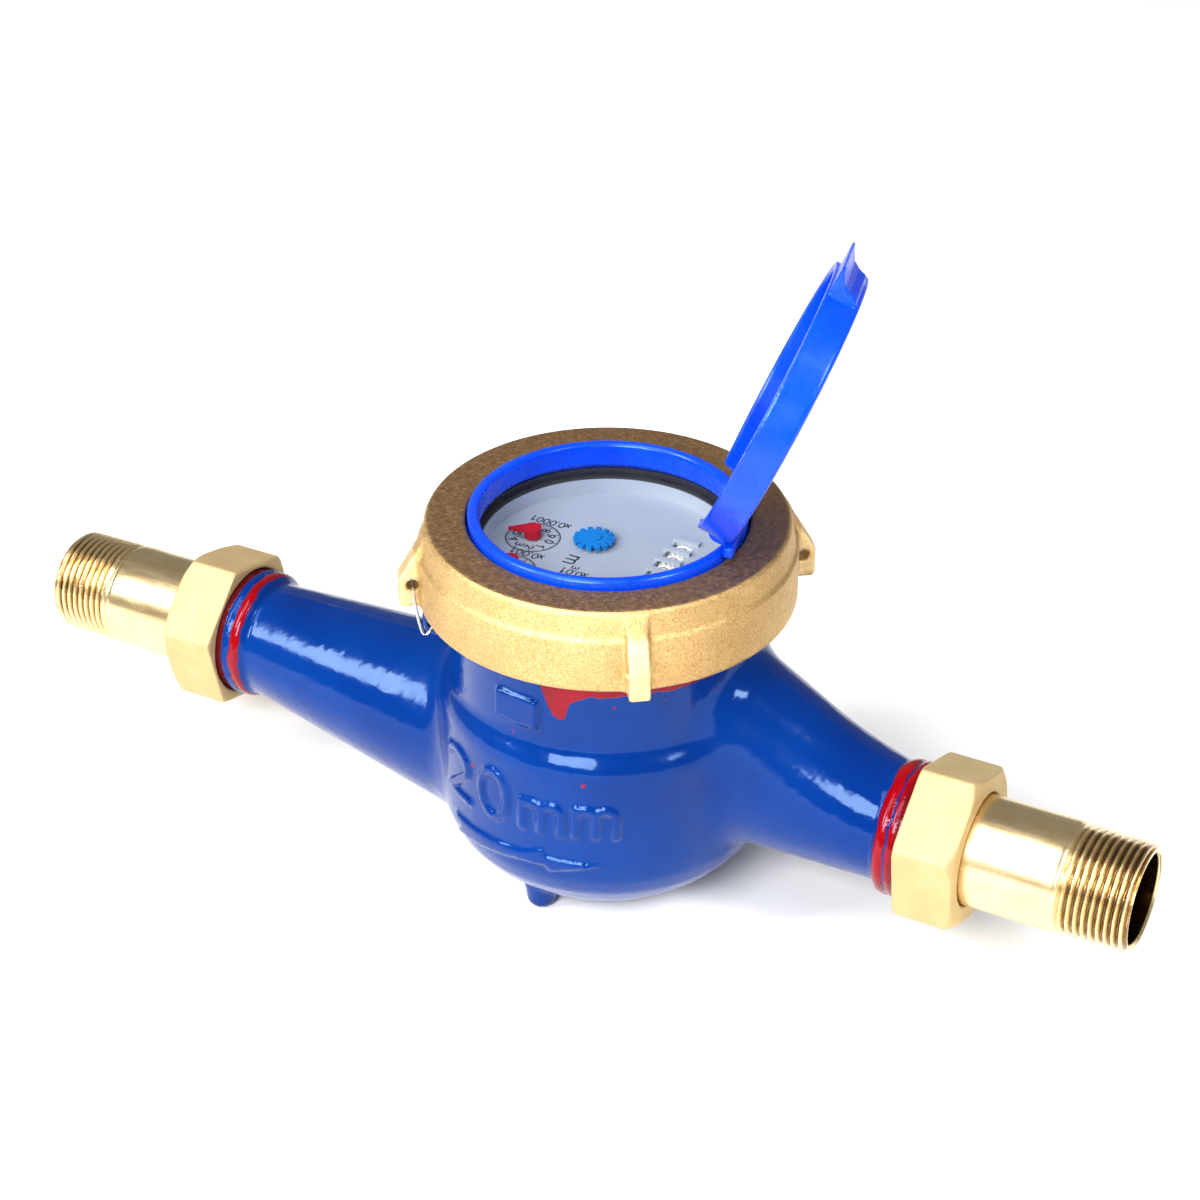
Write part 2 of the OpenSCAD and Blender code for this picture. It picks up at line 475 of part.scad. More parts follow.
meter_body();
inlet_nut();
outlet_nut();
inlet_tail();
outlet_tail();
inlet_gasket();
outlet_gasket();
top_ring();
cover_ring();
lid();
hinge_pin();
seal_wire();
glass();
lens_gasket();
dial_plate();
register_case();
pressure_plate();
register_seal();
lower_plate();
upper_plate();
movement_pillars();
drive_arbor();
driven_magnet();
star_arbor();
star_wheel();
idler_s();
idler_43();
idler_32();
idler_21();
pointer_arbor_1();
pointer_arbor_2();
pointer_arbor_3();
pointer_arbor_4();
pointer_1();
pointer_2();
pointer_3();
pointer_4();
drum_1();
drum_2();
drum_3();
drum_4();
drum_5();
drum_frame();
drum_shaft();
carry_shaft();
carry_pinion_1();
carry_pinion_2();
carry_pinion_3();
carry_pinion_4();
strainer();
measuring_chamber();
chamber_cover();
pivot_pin();
impeller();
impeller_bush();
driving_magnet();
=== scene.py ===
import math

import bpy
import bmesh
import numpy as np
from mathutils import Matrix, Vector


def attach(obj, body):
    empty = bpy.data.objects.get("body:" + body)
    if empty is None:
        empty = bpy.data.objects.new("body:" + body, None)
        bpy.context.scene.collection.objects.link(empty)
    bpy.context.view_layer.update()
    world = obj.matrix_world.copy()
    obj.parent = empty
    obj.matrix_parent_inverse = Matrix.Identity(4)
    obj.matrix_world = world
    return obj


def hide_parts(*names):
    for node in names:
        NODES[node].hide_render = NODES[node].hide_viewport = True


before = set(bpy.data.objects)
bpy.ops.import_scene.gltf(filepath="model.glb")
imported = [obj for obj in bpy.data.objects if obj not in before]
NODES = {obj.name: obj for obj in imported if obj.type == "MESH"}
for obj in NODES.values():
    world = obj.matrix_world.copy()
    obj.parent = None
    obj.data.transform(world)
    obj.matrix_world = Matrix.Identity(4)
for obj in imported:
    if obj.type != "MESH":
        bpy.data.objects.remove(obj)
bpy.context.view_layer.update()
MM = 0.001
XS, ZS = 11.0, -4.0                           # shapes here are drawn about the register axis, from 4 mm under the feet

# ------------------------------------------------------------------ camera
scene = bpy.context.scene
cam_data = bpy.data.cameras.new("camera")
cam = bpy.data.objects.new("camera", cam_data)
scene.collection.objects.link(cam)
cam.location = (0.2709, -0.4986, 0.4319)
target = Vector((0.01218, -0.00627, 0.08005))
cam.rotation_euler = (target - cam.location).to_track_quat("-Z", "Y").to_euler()
cam_data.lens = 83.05
cam_data.sensor_width = 36.0
cam_data.clip_start = 0.02
scene.camera = cam
scene.view_settings.view_transform = "Standard"

# ------------------------------------------------------------------ strokes for plain figures
def arc(cx, cy, rx, ry, a0, a1, n=18):
    return [(cx + rx * math.cos(math.radians(a0 + (a1 - a0) * i / n)), cy + ry * math.sin(math.radians(a0 + (a1 - a0) * i / n))) for i in range(n + 1)]


GLYPHS = {
    "0": [arc(0.3, 0.5, 0.3, 0.5, 90, 450, 28)],
    "1": [[(0.1, 0.78), (0.34, 1.0), (0.34, 0.0)]],
    "2": [arc(0.3, 0.71, 0.29, 0.29, 165, -35) + [(0.02, 0.0), (0.62, 0.0)]],
    "3": [arc(0.28, 0.76, 0.26, 0.24, 150, -90), arc(0.28, 0.27, 0.31, 0.27, 90, -150)],
    "4": [[(0.46, 0.0), (0.46, 1.0), (0.0, 0.3), (0.64, 0.3)]],
    "5": [[(0.56, 1.0), (0.1, 1.0), (0.05, 0.54)] + arc(0.27, 0.33, 0.31, 0.33, 130, -150)],
    "6": [arc(0.3, 0.3, 0.29, 0.3, 0, 360, 24), [(0.5, 1.0), (0.24, 0.76), (0.08, 0.52), (0.02, 0.34)]],
    "7": [[(0.0, 1.0), (0.6, 1.0), (0.22, 0.0)]],
    "8": [arc(0.3, 0.75, 0.25, 0.25, 0, 360, 22), arc(0.3, 0.26, 0.3, 0.26, 0, 360, 22)],
    "9": [arc(0.3, 0.7, 0.29, 0.3, 0, 360, 24), [(0.58, 0.66), (0.52, 0.42), (0.36, 0.2), (0.1, 0.0)]],
    "x": [[(0.04, 0.0), (0.5, 0.6)], [(0.04, 0.6), (0.5, 0.0)]],
    ".": [[(0.08, 0.0), (0.08, 0.07)]],
    "m": [[(0.0, 0.0), (0.0, 0.62)], [(0.0, 0.45)] + arc(0.21, 0.42, 0.21, 0.2, 170, 0, 10) + [(0.42, 0.0)],
          [(0.42, 0.45)] + arc(0.63, 0.42, 0.21, 0.2, 170, 0, 10) + [(0.84, 0.0)]],
}
WIDTH = {".": 0.28, "m": 1.05, "1": 0.6, "x": 0.62}


def dense(poly, step):
    out = [poly[0]]
    for a, b in zip(poly, poly[1:]):
        n = max(1, int(math.ceil(math.dist(a, b) / step)))
        out += [(a[0] + (b[0] - a[0]) * i / n, a[1] + (b[1] - a[1]) * i / n) for i in range(1, n + 1)]
    return out


def strip(poly, w, step):
    """Left and right edge points of a flat pen stroke."""
    p = np.array(dense(poly, step), float)
    closed = np.hypot(*(p[0] - p[-1])) < 1e-6
    if closed:
        t = np.roll(p[:-1], -1, 0) - np.roll(p[:-1], 1, 0)
        t = np.vstack([t, t[:1]])
    else:
        t = np.gradient(p, axis=0)
    t /= np.maximum(np.hypot(t[:, 0], t[:, 1])[:, None], 1e-9)
    n = np.stack([-t[:, 1], t[:, 0]], 1) * w / 2
    if not closed:
        p = p.copy()
        p[0] -= t[0] * w / 2
        p[-1] += t[-1] * w / 2
    return p + n, p - n


class Print:
    """Collects flat strokes as quads placed by a function of the flat point."""

    def __init__(self):
        self.v, self.f = [], []

    def stroke(self, poly, w, place, step=0.25):
        a, b = strip(poly, w, step)
        k = len(self.v)
        for i in range(len(a)):
            self.v += [place(a[i]), place(b[i])]
        for i in range(len(a) - 1):
            j = k + 2 * i
            self.f.append((j, j + 1, j + 3, j + 2))

    def text(self, s, at, height, w, place, centre=True):
        total = sum(WIDTH.get(c, 0.82) for c in s) - 0.2
        x = at[0] - (total * height / 2 if centre else 0)
        y = at[1] - (height / 2 if centre else 0)
        for c in s:
            for poly in GLYPHS[c]:
                self.stroke([(x + u * height, y + v * height) for u, v in poly], w, place)
            x += WIDTH.get(c, 0.82) * height

    def make(self, name):
        return mesh_object(name, np.array(self.v) * MM, self.f)


# ------------------------------------------------------------------ meshes
def mesh_object(name, verts, faces, smooth=True):
    me = bpy.data.meshes.new(name)
    me.from_pydata([(float(v[0]) + XS * MM, float(v[1]), float(v[2]) + ZS * MM) for v in verts], [], [tuple(map(int, f)) for f in faces])
    me.validate()
    me.update()
    if smooth:
        me.polygons.foreach_set("use_smooth", np.ones(len(me.polygons), bool))
    ob = bpy.data.objects.new(name, me)
    scene.collection.objects.link(ob)
    return ob


def face_out(ob):
    bm = bmesh.new()
    bm.from_mesh(ob.data)
    bmesh.ops.recalc_face_normals(bm, faces=bm.faces)
    bm.to_mesh(ob.data)
    bm.free()


def lathe(name, poly, place, n=96):
    """Closed ring or body of revolution: poly in (r, t), place(r, angle, t) gives millimetres."""
    poly = list(poly)
    v, f, rows = [], [], []
    for r, t in poly:
        if r < 1e-6:
            rows.append([len(v)])
            v.append(place(0.0, 0.0, t))
        else:
            rows.append(list(range(len(v), len(v) + n)))
            v += [place(r, 2 * math.pi * i / n, t) for i in range(n)]
    pairs = list(zip(rows, rows[1:] + rows[:1]))
    for a, b in pairs:
        if len(a) == 1 and len(b) == 1:
            continue
        for i in range(n):
            j = (i + 1) % n
            if len(a) == 1:
                f.append((a[0], b[j], b[i]))
            elif len(b) == 1:
                f.append((a[i], a[j], b[0]))
            else:
                f.append((a[i], a[j], b[j], b[i]))
    ob = mesh_object(name, np.array(v) * MM, f)
    face_out(ob)
    return ob


def about_z(r, a, t):
    return (r * math.cos(a), r * math.sin(a), t)


def between(p, q):
    p, q = np.array(p, float), np.array(q, float)
    a = (q - p) / np.linalg.norm(q - p)
    u = np.cross(a, [0.0, 1.0, 0.0])
    u /= np.linalg.norm(u)
    w = np.cross(a, u)
    return lambda r, th, t: tuple(p + a * t + u * r * math.cos(th) + w * r * math.sin(th))


def rod(name, p, q, r, n=64):
    length = math.dist(p, q)
    return lathe(name, [(0, 0), (r, 0), (r, length), (0, length)], between(p, q), n)


# ------------------------------------------------------------------ signed distances
class Table:
    """Signed distance of a flat closed outline, softened so that its corners are round."""

    def __init__(self, poly, blur=0.0, mirror=False, step=0.2, pad=8.0):
        poly = np.array(poly, float)
        if mirror and poly[:, 0].min() < 0.01:
            poly = np.vstack([poly, poly[::-1] * [-1, 1]])
        lo, hi = poly.min(0) - pad, poly.max(0) + pad
        n = np.ceil((hi - lo) / step).astype(int) + 1
        U, V = np.meshgrid(lo[0] + step * np.arange(n[0]), lo[1] + step * np.arange(n[1]), indexing="ij")
        best = np.full(U.shape, 1e9)
        inside = np.zeros(U.shape, bool)
        for a, b in zip(poly, np.roll(poly, -1, 0)):
            e = b - a
            L = e @ e
            if L < 1e-12:
                continue
            h = np.clip(((U - a[0]) * e[0] + (V - a[1]) * e[1]) / L, 0, 1)
            best = np.minimum(best, (U - a[0] - h * e[0]) ** 2 + (V - a[1] - h * e[1]) ** 2)
            if e[1] != 0:
                c = (a[1] > V) != (b[1] > V)
                inside ^= c & (U < e[0] * (V - a[1]) / e[1] + a[0])
        d = np.sqrt(best) * np.where(inside, -1, 1)
        k = int(round(blur / step))
        if k > 0:
            for ax in (0, 1):
                for _ in range(2):
                    q = np.pad(d, [(k, k) if i == ax else (0, 0) for i in (0, 1)], mode="edge").cumsum(ax)
                    q = np.concatenate([np.zeros_like(np.take(q, [0], ax)), q], ax)
                    m = d.shape[ax]
                    d = (np.take(q, range(2 * k + 1, 2 * k + 1 + m), ax) - np.take(q, range(0, m), ax)) / (2 * k + 1)
        self.d, self.lo, self.step, self.n = d.astype(np.float32), lo, step, n

    def __call__(self, u, v):
        a = (u - np.float32(self.lo[0])) / np.float32(self.step)
        b = (v - np.float32(self.lo[1])) / np.float32(self.step)
        ac = np.clip(a, 0, self.n[0] - 1.001)
        bc = np.clip(b, 0, self.n[1] - 1.001)
        i, j = ac.astype(np.int32), bc.astype(np.int32)
        x, y = ac - i, bc - j
        d = self.d
        out = (d[i, j] * (1 - x) + d[i + 1, j] * x) * (1 - y) + (d[i, j + 1] * (1 - x) + d[i + 1, j + 1] * x) * y
        return out + np.hypot(a - ac, b - bc) * np.float32(self.step * 0.7)


class Turned:
    def __init__(self, p, q, poly, blur=0.0, step=0.2):
        self.p = np.array(p, np.float32)
        a = np.array(q, float) - np.array(p, float)
        self.a = (a / np.linalg.norm(a)).astype(np.float32)
        self.t = Table(poly, blur, True, step)

    def __call__(self, X, Y, Z):
        x, y, z = X - self.p[0], Y - self.p[1], Z - self.p[2]
        t = x * self.a[0] + y * self.a[1] + z * self.a[2]
        r = np.sqrt(np.maximum(x * x + y * y + z * z - t * t, 0))
        return self.t(r, t)


def smin(a, b, k):
    h = np.maximum(k - np.abs(a - b), 0) / k
    return np.minimum(a, b) - h * h * (k / 4)


def smax(a, b, k):
    return -smin(-a, -b, k)


def rbox(x, y, z, hx, hy, hz, r):
    a, b, c = np.abs(x) - (hx - r), np.abs(y) - (hy - r), np.abs(z) - (hz - r)
    out = np.sqrt(np.maximum(a, 0) ** 2 + np.maximum(b, 0) ** 2 + np.maximum(c, 0) ** 2)
    return out + np.minimum(np.maximum(a, np.maximum(b, c)), 0) - r


def step01(x):
    x = np.clip(x, 0, 1)
    return x * x * (3 - 2 * x)


def surface(name, f, lo, hi, h, move=(XS, 0.0, ZS)):
    """Closed smooth mesh of f = 0 on a grid, each point then moved on to the surface."""
    lo, hi = np.array(lo, float), np.array(hi, float)
    n = np.ceil((hi - lo) / h).astype(int) + 1
    ax = [(lo[i] + h * np.arange(n[i])).astype(np.float32) for i in range(3)]
    V = np.empty(tuple(n), np.float32)
    for k0 in range(0, n[0], 24):
        X, Y, Z = np.meshgrid(ax[0][k0:k0 + 24], ax[1], ax[2], indexing="ij")
        V[k0:k0 + 24] = f(X, Y, Z)
    S = V < 0
    m = n - 1
    cnt = np.zeros(tuple(m), np.uint8)
    corners = [(a, b, c) for a in (0, 1) for b in (0, 1) for c in (0, 1)]
    for a, b, c in corners:
        cnt += S[a:a + m[0], b:b + m[1], c:c + m[2]]
    act = np.argwhere((cnt > 0) & (cnt < 8))
    val = np.stack([V[act[:, 0] + a, act[:, 1] + b, act[:, 2] + c] for a, b, c in corners], 1)
    acc = np.zeros((len(act), 3))
    num = np.zeros(len(act))
    for p in range(8):
        for q in range(p + 1, 8):
            dp = np.array(corners[q]) - np.array(corners[p])
            if np.abs(dp).sum() != 1:
                continue
            cross = (val[:, p] < 0) != (val[:, q] < 0)
            t = np.where(cross, val[:, p] / np.where(cross, val[:, p] - val[:, q], 1), 0)
            acc += np.where(cross[:, None], np.array(corners[p]) + t[:, None] * dp, 0)
            num += cross
    P = lo + h * (act + acc / num[:, None])
    idx = np.full(tuple(m), -1, np.int32)
    idx[act[:, 0], act[:, 1], act[:, 2]] = np.arange(len(act))
    quads = []
    for axis in range(3):
        o1, o2 = [i for i in range(3) if i != axis]
        s0 = [slice(0, n[i]) for i in range(3)]
        s1 = list(s0)
        s0[axis], s1[axis] = slice(0, n[axis] - 1), slice(1, n[axis])
        A, B = S[tuple(s0)], S[tuple(s1)]
        E = np.argwhere(A != B)
        ok = (E[:, o1] > 0) & (E[:, o1] < n[o1] - 1) & (E[:, o2] > 0) & (E[:, o2] < n[o2] - 1)
        E = E[ok]
        flip = A[E[:, 0], E[:, 1], E[:, 2]]
        c = []
        for d1, d2 in ((0, 0), (1, 0), (1, 1), (0, 1)):
            G = E.copy()
            G[:, o1] -= d1
            G[:, o2] -= d2
            c.append(idx[G[:, 0], G[:, 1], G[:, 2]])
        Q = np.stack(c, 1)
        if axis == 1:
            flip = ~flip
        Q[~flip] = Q[~flip][:, ::-1]
        quads.append(Q)
    quads = np.vstack(quads)
    e = 0.05
    for _ in range(3):
        x, y, z = [P[:, i].astype(np.float32) for i in range(3)]
        g = np.stack([f(x + e, y, z) - f(x - e, y, z), f(x, y + e, z) - f(x, y - e, z), f(x, y, z + e) - f(x, y, z - e)], 1) / (2 * e)
        s = f(x, y, z) / np.maximum((g * g).sum(1), 0.2)
        P -= np.clip(s, -0.4 * h, 0.4 * h)[:, None] * g
    P += np.array(move)
    me = bpy.data.meshes.new(name)
    me.vertices.add(len(P))
    me.vertices.foreach_set("co", (P * MM).astype(np.float32).ravel())
    me.loops.add(quads.size)
    me.loops.foreach_set("vertex_index", quads.ravel().astype(np.int32))
    me.polygons.add(len(quads))
    me.polygons.foreach_set("loop_start", (np.arange(len(quads)) * 4).astype(np.int32))
    me.update(calc_edges=True)
    me.validate()
    me.polygons.foreach_set("use_smooth", np.ones(len(me.polygons), bool))
    ob = bpy.data.objects.new(name, me)
    scene.collection.objects.link(ob)
    return ob


def cut(ob, tools, sharp=50):
    """Takes the tools out of ob and drops them."""
    for t in tools:
        m = ob.modifiers.new("cut", "BOOLEAN")
        m.operation = "DIFFERENCE"
        m.solver = "MANIFOLD"
        m.object = t
    bpy.context.view_layer.update()
    dg = bpy.context.evaluated_depsgraph_get()
    me = bpy.data.meshes.new_from_object(ob.evaluated_get(dg))
    old = ob.data
    ob.modifiers.clear()
    ob.data = me
    bpy.data.meshes.remove(old)
    for t in tools:
        d = t.data
        bpy.data.objects.remove(t)
        bpy.data.meshes.remove(d)
    me.polygons.foreach_set("use_smooth", np.ones(len(me.polygons), bool))
    me.set_sharp_from_angle(angle=math.radians(sharp))
    return ob


def coords(ob):
    co = np.zeros(len(ob.data.vertices) * 3, np.float32)
    ob.data.vertices.foreach_get("co", co)
    return co.reshape(-1, 3) / MM - np.array([XS, 0, ZS])


def field(ob, name, values):
    a = ob.data.attributes.new(name, "FLOAT", "POINT")
    a.data.foreach_set("value", np.asarray(values, np.float32))


def distance_to(polys, u, v):
    best = np.full(u.shape, 1e9, np.float32)
    for poly in polys:
        for a, b in zip(poly, poly[1:]):
            ex, ey = b[0] - a[0], b[1] - a[1]
            L = max(ex * ex + ey * ey, 1e-9)
            h = np.clip(((u - a[0]) * ex + (v - a[1]) * ey) / L, 0, 1)
            best = np.minimum(best, (u - a[0] - h * ex) ** 2 + (v - a[1] - h * ey) ** 2)
    return np.sqrt(best)


# ------------------------------------------------------------------ meter body
PH, ZT = 40.0, 104.1
BOWL, NECK = 41.0, 38.0
bowl = Turned((0, 0, 0), (0, 0, 1), [(0, 6), (19, 6), (24, 7.6), (30, 12), (35.5, 17), (39, 21.5), (40.6, 26), (41, 31), (41, 56.6), (40.3, 58.8),
              (38.7, 60.9), (38, 62.2), (38, 84.6), (39.6, 85), (39.6, 95.4), (39.2, 96), (0, 96)], 1.0)
inlet = Turned((-104, 0, PH + 0.2), (-34, 0, 33), [(0, 0), (14, 0), (22.8, 70.4), (19, 84), (11, 92), (0, 92)], 1.2)
outlet_low = Turned((84, 0, PH - 0.2), (24, 0, PH + 3.4), [(0, 0), (13.8, 0), (17.4, 58), (0, 58)], 0.8)
outlet_top = Turned((84, 0, PH + 0.4), (30, 0, PH + 19), [(0, 0), (9, 0), (18.5, 57), (12, 68), (0, 68)], 0.8)
collar_in = Turned((-110, 0, PH), (0, 0, PH), [(0, 0), (15.9, 0), (16.4, 0.6), (16.4, 5.2), (15.9, 5.5), (16.7, 6.2), (16.75, 7.4), (16.0, 8.0), (16.6, 8.7),
                   (16.6, 9.9), (15.6, 11.2), (14.4, 12), (0, 12)], 0.2, 0.1)
collar_out = Turned((88, 0, PH), (0, 0, PH), [(0, 0), (15.9, 0), (16.4, 0.6), (16.4, 4.6), (16.1, 5.0), (16.75, 5.7), (16.75, 6.9), (16.0, 7.6), (16.7, 8.3),
                    (16.6, 9.7), (15.6, 10.7), (14.2, 11.4), (0, 11.4)], 0.2, 0.1)
foot = Table([(0, 4), (2.4, 4), (3.2, 4.5), (3.6, 5.4), (4.4, 11), (0, 11)], 0.3, True, 0.1)
eye_shape = Table([(36, 74.3), (41.6, 74.8), (44.6, 76.7), (44.6, 80.7), (42.6, 82.5), (36, 82.7)], 0.6, False, 0.15)
R = math.pi / 180 * 41.0
MID = 265.0


def on_bowl(polys, az0, az1, z0, z1, w=0.62, hgt=1.0):
    return [[((az0 + (az1 - az0) * u / w - MID) * R, z0 + (z1 - z0) * v / hgt) for u, v in p] for p in polys]


MARK = on_bowl(GLYPHS["2"], 230.5, 244, 38, 51) + on_bowl(GLYPHS["0"], 250.5, 262, 39, 52, 0.6) \
    + on_bowl(GLYPHS["m"], 268, 282, 39.6, 47.4, 0.84, 0.62) + on_bowl(GLYPHS["m"], 287, 300.5, 40, 47.6, 0.84, 0.62)
ARROW = [((a - MID) * R, z) for a, z in [(233.5, 31), (248, 31.6), (268, 32.3), (275.5, 34.4), (276.6, 32.4), (296, 31.6), (277.8, 28.2), (276.5, 29.6),
                                         (269, 29.6), (255, 28), (234, 25.6), (238, 28.6)]]
arrow_in = Table(ARROW, 0.2, False, 0.2)


def relief(X, Y, Z):
    out = np.zeros(X.shape, np.float32)
    r = np.hypot(X, Y)
    m = (r > 35) & (r < 44) & (Y < -8) & (Z > 21) & (Z < 57)
    if m.any():
        az = np.degrees(np.arctan2(Y[m], X[m])) % 360
        u, v = (az - MID) * np.float32(R), Z[m]
        d = distance_to(MARK, u, v)
        top = 0.95 * step01((1.55 - d) / 1.1)
        top = np.maximum(top, 0.9 * step01((0.5 - arrow_in(u, v)) / 1.0))
        out[m] = top
    return out


def body_at(X, Y, Z):
    d = bowl(X, Y, Z)
    arm = smin(inlet(X, Y, Z), collar_in(X, Y, Z), 0.8)
    d = smin(d, arm, 5.0)
    out = smin(outlet_low(X, Y, Z), outlet_top(X, Y, Z), 7.0)
    out = smin(out, collar_out(X, Y, Z), 0.8)
    d = smin(d, out, 5.0)
    for a in (18, 138, 258):
        c, s = 25.5 * math.cos(math.radians(a)), 25.5 * math.sin(math.radians(a))
        d = smin(d, foot(np.hypot(X - c, Y - s), Z), 1.6)
    c, s = math.cos(math.radians(216)), math.sin(math.radians(216))
    rad, tan = X * c + Y * s, -X * s + Y * c
    d = smin(d, smax(eye_shape(rad, Z), np.abs(tan) - 2.0, 0.8), 2.0)
    c, s = math.cos(math.radians(264)), math.sin(math.radians(264))
    rad, tan = X * c + Y * s, -X * s + Y * c
    d = smin(d, rbox(rad - 36.6, tan, Z - 70.5, 2.5, 5.8, 4.0, 0.7), 0.9)
    # parting line of the casting along the crown of both arms
    crown = np.exp(-(Y / 0.55) ** 2) * (Z > 45)
    d = d - 0.32 * crown * step01((X + 97) / 3) * step01((-43 - X) / 4) - 0.25 * crown * step01((X - 40) / 4) * step01((76 - X) / 3)
    return d - relief(X, Y, Z)


body = surface("body_casting", body_at, (-112, -45.6, 2.5), (90, 45.6, 98), 0.78)
tools = [
    lathe("t1", [(0, 16), (8, 16), (9, 11), (22, 11), (31, 17.5), (35, 22.5), (36.5, 28), (36.5, 42), (33, 42), (33, 48), (36.5, 48), (36.5, 57), (35, 60),
                 (35, 94.2), (36, 94.2), (36, 94.2), (38, 94.2), (38, 97), (0, 97)], about_z, 128),
    rod("t2", (-111, 0, PH), (-60, 0, PH), 11),
    rod("t3", (-70, 0, PH), (-28, 0, 29), 10.4),
    rod("t4", (56, 0, PH), (89, 0, PH), 11),
    rod("t5", (66, 0, PH + 0.3), (28, 0, 57), 10.2),
]
e0 = [42.4 * math.cos(math.radians(216)), 42.4 * math.sin(math.radians(216))]
et = [-math.sin(math.radians(216)), math.cos(math.radians(216))]
tools.append(rod("t6", (e0[0] - 5 * et[0], e0[1] - 5 * et[1], 78.7), (e0[0] + 5 * et[0], e0[1] + 5 * et[1], 78.7), 1.3, 24))
cut(body, tools)

# red paint left on the casting, as a signed distance in millimetres (positive = painted)
P = coords(body)
az = np.degrees(np.arctan2(P[:, 1], P[:, 0])) % 360
rad = np.hypot(P[:, 0], P[:, 1])
rx = np.hypot(P[:, 1], P[:, 2] - PH)
edge = np.interp(az, [240, 271.5, 273.6, 274.7, 276.0, 277.2, 278.3, 279.2, 280.6, 281.9, 282.7, 283.2, 283.8, 285.8, 288.3, 291.7, 294.7, 296.8, 301.8, 305, 312.9, 320, 325.7, 331.7, 337.1, 341, 360],
                 [90, 86, 78.4, 76.4, 74.2, 72.3, 71.2, 70.7, 70.5, 70.7, 71.4, 73.0, 74.8, 76.0, 76.7, 77.8, 77.3, 77.5, 77.8, 78.0, 78.2, 77.7, 78.0, 78.3, 78.0, 84, 90])
red = np.where((rad > 37.0) & (P[:, 2] > 66) & (P[:, 2] < 86), np.clip((P[:, 2] - edge) * 0.8, -3, 3), -3)
spots = [(262, 63.4, 0.5), (289.5, 54.6, 0.55), (246, 49.5, 0.6), (257, 77.2, 0.4), (300, 74.8, 0.35), (311, 76.3, 0.4), (268, 79.0, 0.5), (318, 75.6, 0.3)]
for a0, z0, r0 in spots:
    red = np.where(rad > 37, np.maximum(red, r0 - np.hypot((az - a0) * 0.68, P[:, 2] - z0)), red)
field(body, "red", red)
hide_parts("meter_body")
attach(body, "meter")

# ------------------------------------------------------------------ tails with a cut thread
def tail(name, node, at, sign):
    """at = body face; t runs out from it."""
    flange0, flange1, plain1, end = 2.0, 5.5, 32.5, 50.5
    prof = [(11.0, 2.0), (15.4, 2.0), (15.8, 2.3), (15.8, 5.2), (15.5, 5.5), (13.9, 5.5), (13.5, 5.9)]
    prof += [(13.5, t) for t in np.linspace(8, plain1 - 0.8, 8)] + [(13.45, plain1 - 0.3)]
    n = 160
    ts = np.linspace(plain1, end - 0.02, 132)
    pitch = 1.814
    v, f = [], []

    def ring(rs, t):
        k = len(v)
        for i in range(n):
            a = 2 * math.pi * i / n
            v.append((at + sign * t, rs[i] * math.cos(a), PH + rs[i] * math.sin(a)))
        return k

    rings = [ring([r] * n, t) for r, t in prof]
    for t in ts:
        rs = []
        for i in range(n):
            ph = ((t / pitch) + i / n) % 1.0
            tri = 1 - abs(2 * ph - 1)
            saw = min(max((tri - 0.12) / 0.76, 0), 1)
            run = min(max((t - plain1) / 2.6, 0), 1)
            crest = 13.3 - 0.012 * (t - plain1)
            lead = min(max((end - t) / 1.1, 0), 1)
            rs.append(crest - 1.12 * (1 - saw) * (0.35 + 0.65 * run) * min(run * 3, 1) - 0.75 * (1 - lead))
        rings.append(ring(rs, t))
    for r, t in [(12.25, end), (11.8, end), (11.0, end - 0.7), (11.0, 26.0), (11.0, 2.0)]:
        rings.append(ring([r] * n, t))
    for a, b in zip(rings, rings[1:]):
        for i in range(n):
            j = (i + 1) % n
            f.append((a + i, a + j, b + j, b + i))
    ob = mesh_object(name, np.array(v) * MM, f)
    bm = bmesh.new()
    bm.from_mesh(ob.data)
    bmesh.ops.remove_doubles(bm, verts=bm.verts, dist=1e-7)
    bmesh.ops.recalc_face_normals(bm, faces=bm.faces)
    bm.to_mesh(ob.data)
    bm.free()
    ob.data.set_sharp_from_angle(angle=math.radians(40))
    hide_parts(node)
    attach(ob, "meter")
    return ob


tail_in = tail("tail_in", "inlet_tail", -110.0, -1)
tail_out = tail("tail_out", "outlet_tail", 88.0, 1)

def nut(name, node, face, sign, turn):
    flats = [(math.cos(math.radians(turn - 60 + 60 * k)), math.sin(math.radians(turn - 60 + 60 * k))) for k in range(3)]
    af, hr = 18.1, 20.9

    def at(X, Y, Z):
        t, z = sign * (X - face), Z - PH
        r = np.hypot(Y, z)
        d = smax(smax(np.abs(Y * flats[0][0] + z * flats[0][1]), np.abs(Y * flats[1][0] + z * flats[1][1]), 0.7),
                 np.abs(Y * flats[2][0] + z * flats[2][1]), 0.7) - af
        d = smax(d, smax(t - 10.25, -4.5 - t, 0.3), 0.35)
        d = smax(d, (r - (18.5 + 1.5 * (10.25 - t))) / 1.803, 0.35)
        d = smax(d, (r - (20.1 + 1.5 * (t + 4.5))) / 1.803, 0.35)
        hole = np.minimum(r - 14.0, np.maximum(r - 16.75, t - 5.5))
        return smax(d, -hole, 0.35)

    lo, hi = sorted((face - sign * 5.6, face + sign * 11.4))
    ob = surface(name, at, (lo, -22, PH - 22), (hi, 22, PH + 22), 0.45)
    ob.data.set_sharp_from_angle(angle=math.radians(60))
    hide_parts(node)
    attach(ob, "meter")
    return ob


nut_in = nut("nut_in", "inlet_nut", -110.0, -1, 14)
nut_out = nut("nut_out", "outlet_nut", 88.0, 1, 9)

